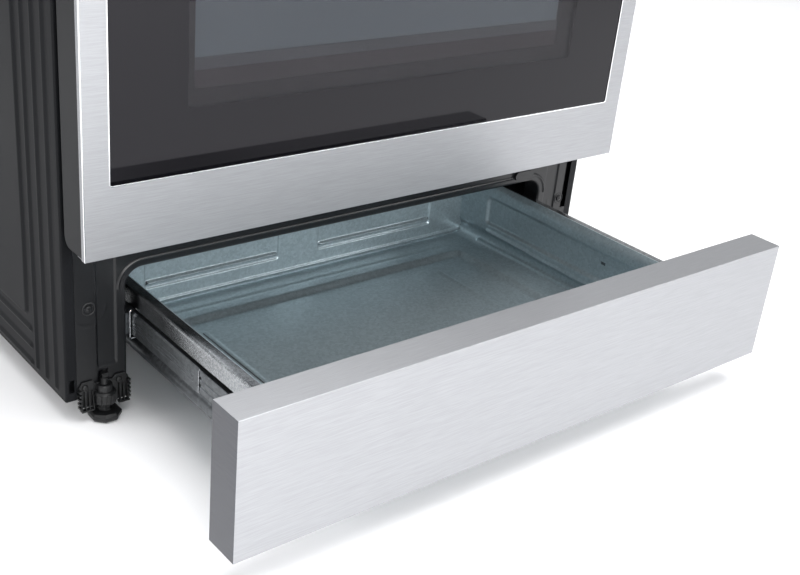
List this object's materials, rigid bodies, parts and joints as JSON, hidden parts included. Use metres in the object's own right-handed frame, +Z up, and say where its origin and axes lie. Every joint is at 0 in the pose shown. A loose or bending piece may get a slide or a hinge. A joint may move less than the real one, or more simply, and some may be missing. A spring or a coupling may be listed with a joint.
{
  "type": "freestanding gas range",
  "caption": "Freestanding gas range: sealed-burner cooktop with cast-iron grates, turning knobs, windowed oven with drop-down door, sliding storage drawer and backguard.",
  "frame": {"origin": "on the floor, at the centre of the four levelling legs", "axes": "+X to the right seen from the front, +Y to the back, +Z up; the oven door faces -Y"},
  "size_m": [0.756, 0.949, 1.195],
  "materials": {
    "black_paint": "charcoal textured powder coat",
    "frame_black": "satin black paint",
    "galvanised": "galvanised steel, fine spangle",
    "porcelain": "speckled blue-grey porcelain enamel",
    "glass_wool": "fibre blanket",
    "burner_steel": "aluminised steel",
    "rack_chrome": "nickel-plated wire",
    "lamp_glass": "frosted glass",
    "gasket_weave": "woven glass-fibre tube",
    "plated_steel": "zinc-plated steel",
    "stainless": "brushed stainless, grain across the width",
    "handle_steel": "brushed stainless tube",
    "cast_aluminium": "cast aluminium",
    "cap_enamel": "matte black enamel",
    "spark_ceramic": "glazed white ceramic",
    "cast_iron": "matte enamelled cast iron",
    "pipe_steel": "steel gas pipe",
    "valve_brass": "machined brass",
    "black_plastic": "black nylon",
    "black_glass": "tinted black glass",
    "window_glass": "heat-reflective glass",
    "charcoal_cap": "charcoal painted trim",
    "knob_metal": "spun metal-faced knob",
    "leg_black": "black moulded plastic and black steel"
  },
  "bodies": {
    "range_body": {"side_panel_left": "black_paint", "side_panel_right": "black_paint", "rear_panel": "galvanised", "front_frame": "frame_black", "rear_rail": "frame_black", "oven_cavity": "porcelain", "oven_insulation": "glass_wool", "oven_floor": "porcelain", "bake_burner": "burner_steel", "broil_burner": "burner_steel", "rack_lower": "rack_chrome", "rack_upper": "rack_chrome", "oven_lamp": "lamp_glass", "door_gasket": "gasket_weave", "hinge_receivers": "plated_steel", "cooktop": "stainless", "burner_bases": "cast_aluminium", "burner_cap_front_left": "cap_enamel", "burner_cap_front_right": "cap_enamel", "burner_cap_rear_left": "cap_enamel", "burner_cap_rear_right": "cap_enamel", "burner_cap_centre": "cap_enamel", "spark_electrodes": "spark_ceramic", "manifold": "pipe_steel", "gas_valves": "valve_brass", "regulator": "cast_aluminium", "cord_gland": "black_plastic", "control_panel": "stainless", "backguard": "stainless", "display_panel": "black_glass", "slide_outer": "plated_steel", "leg_brackets": "leg_black"},
    "oven_door": {"door_frame": "stainless", "door_glass": "black_glass", "door_inner_panel": "porcelain", "door_window": "window_glass", "door_handle": "handle_steel", "door_side_caps": "charcoal_cap", "door_hinges": "plated_steel"},
    "drawer": {"drawer_box": "galvanised", "drawer_front": "stainless", "slide_inner": "plated_steel"},
    "slide_middle": {"slide_middle": "plated_steel"},
    "grate_left": {"grate_left": "cast_iron"},
    "grate_centre": {"grate_centre": "cast_iron"},
    "grate_right": {"grate_right": "cast_iron"},
    "valve_stem_1": {"valve_stem_1": "plated_steel"},
    "knob_1": {"knob_1": "knob_metal"},
    "valve_stem_2": {"valve_stem_2": "plated_steel"},
    "knob_2": {"knob_2": "knob_metal"},
    "valve_stem_3": {"valve_stem_3": "plated_steel"},
    "knob_3": {"knob_3": "knob_metal"},
    "valve_stem_4": {"valve_stem_4": "plated_steel"},
    "knob_4": {"knob_4": "knob_metal"},
    "valve_stem_5": {"valve_stem_5": "plated_steel"},
    "knob_5": {"knob_5": "knob_metal"},
    "leg_front_left": {"leg_front_left": "leg_black"},
    "leg_rear_left": {"leg_rear_left": "leg_black"},
    "leg_front_right": {"leg_front_right": "leg_black"},
    "leg_rear_right": {"leg_rear_right": "leg_black"}
  },
  "joints": [
    {"name": "door_hinge", "type": "hinge", "parent": "range_body", "child": "oven_door", "pos_m": [0, -0.3085, 0.222], "axis": [1, 0, 0], "range_deg": [0, 90]},
    {"name": "drawer_slide", "type": "slide", "parent": "range_body", "child": "drawer", "axis": [0, -1, 0], "range_m": [-0.277, 0.09]},
    {"name": "middle_slide", "type": "slide", "parent": "range_body", "child": "slide_middle", "axis": [0, -1, 0], "range_m": [-0.1385, 0.045]},
    {"name": "grate_left_lift", "type": "slide", "parent": "range_body", "child": "grate_left", "axis": [0, 0, 1], "range_m": [0, 0.08]},
    {"name": "grate_centre_lift", "type": "slide", "parent": "range_body", "child": "grate_centre", "axis": [0, 0, 1], "range_m": [0, 0.08]},
    {"name": "grate_right_lift", "type": "slide", "parent": "range_body", "child": "grate_right", "axis": [0, 0, 1], "range_m": [0, 0.08]},
    {"name": "knob_1_turn", "type": "hinge", "parent": "range_body", "child": "valve_stem_1", "pos_m": [-0.285, -0.31282, 0.823], "axis": [0, -0.9659, 0.2588], "range_deg": [0, 210]},
    {"name": "knob_1_push", "type": "slide", "parent": "valve_stem_1", "child": "knob_1", "axis": [0, 0.9659, -0.2588], "range_m": [0, 0.0035], "stiffness_N_per_m": 1200, "springref_m": -0.002},
    {"name": "knob_2_turn", "type": "hinge", "parent": "range_body", "child": "valve_stem_2", "pos_m": [-0.18, -0.31282, 0.823], "axis": [0, -0.9659, 0.2588], "range_deg": [0, 210]},
    {"name": "knob_2_push", "type": "slide", "parent": "valve_stem_2", "child": "knob_2", "axis": [0, 0.9659, -0.2588], "range_m": [0, 0.0035], "stiffness_N_per_m": 1200, "springref_m": -0.002},
    {"name": "knob_3_turn", "type": "hinge", "parent": "range_body", "child": "valve_stem_3", "pos_m": [0, -0.31282, 0.823], "axis": [0, -0.9659, 0.2588], "range_deg": [0, 210]},
    {"name": "knob_3_push", "type": "slide", "parent": "valve_stem_3", "child": "knob_3", "axis": [0, 0.9659, -0.2588], "range_m": [0, 0.0035], "stiffness_N_per_m": 1200, "springref_m": -0.002},
    {"name": "knob_4_turn", "type": "hinge", "parent": "range_body", "child": "valve_stem_4", "pos_m": [0.18, -0.31282, 0.823], "axis": [0, -0.9659, 0.2588], "range_deg": [0, 210]},
    {"name": "knob_4_push", "type": "slide", "parent": "valve_stem_4", "child": "knob_4", "axis": [0, 0.9659, -0.2588], "range_m": [0, 0.0035], "stiffness_N_per_m": 1200, "springref_m": -0.002},
    {"name": "knob_5_turn", "type": "hinge", "parent": "range_body", "child": "valve_stem_5", "pos_m": [0.285, -0.31282, 0.823], "axis": [0, -0.9659, 0.2588], "range_deg": [0, 210]},
    {"name": "knob_5_push", "type": "slide", "parent": "valve_stem_5", "child": "knob_5", "axis": [0, 0.9659, -0.2588], "range_m": [0, 0.0035], "stiffness_N_per_m": 1200, "springref_m": -0.002},
    {"name": "leg_front_left_turn", "type": "hinge", "parent": "range_body", "child": "leg_front_left", "pos_m": [-0.3355, -0.2865, 0], "axis": [0, 0, 1], "continuous": true},
    {"name": "leg_rear_left_turn", "type": "hinge", "parent": "range_body", "child": "leg_rear_left", "pos_m": [-0.3355, 0.2865, 0], "axis": [0, 0, 1], "continuous": true},
    {"name": "leg_front_right_turn", "type": "hinge", "parent": "range_body", "child": "leg_front_right", "pos_m": [0.3355, -0.2865, 0], "axis": [0, 0, 1], "continuous": true},
    {"name": "leg_rear_right_turn", "type": "hinge", "parent": "range_body", "child": "leg_rear_right", "pos_m": [0.3355, 0.2865, 0], "axis": [0, 0, 1], "continuous": true}
  ],
  "couplings": [
    {"joint": "middle_slide", "follows": "drawer_slide", "ratio": 0.5}
  ]
}
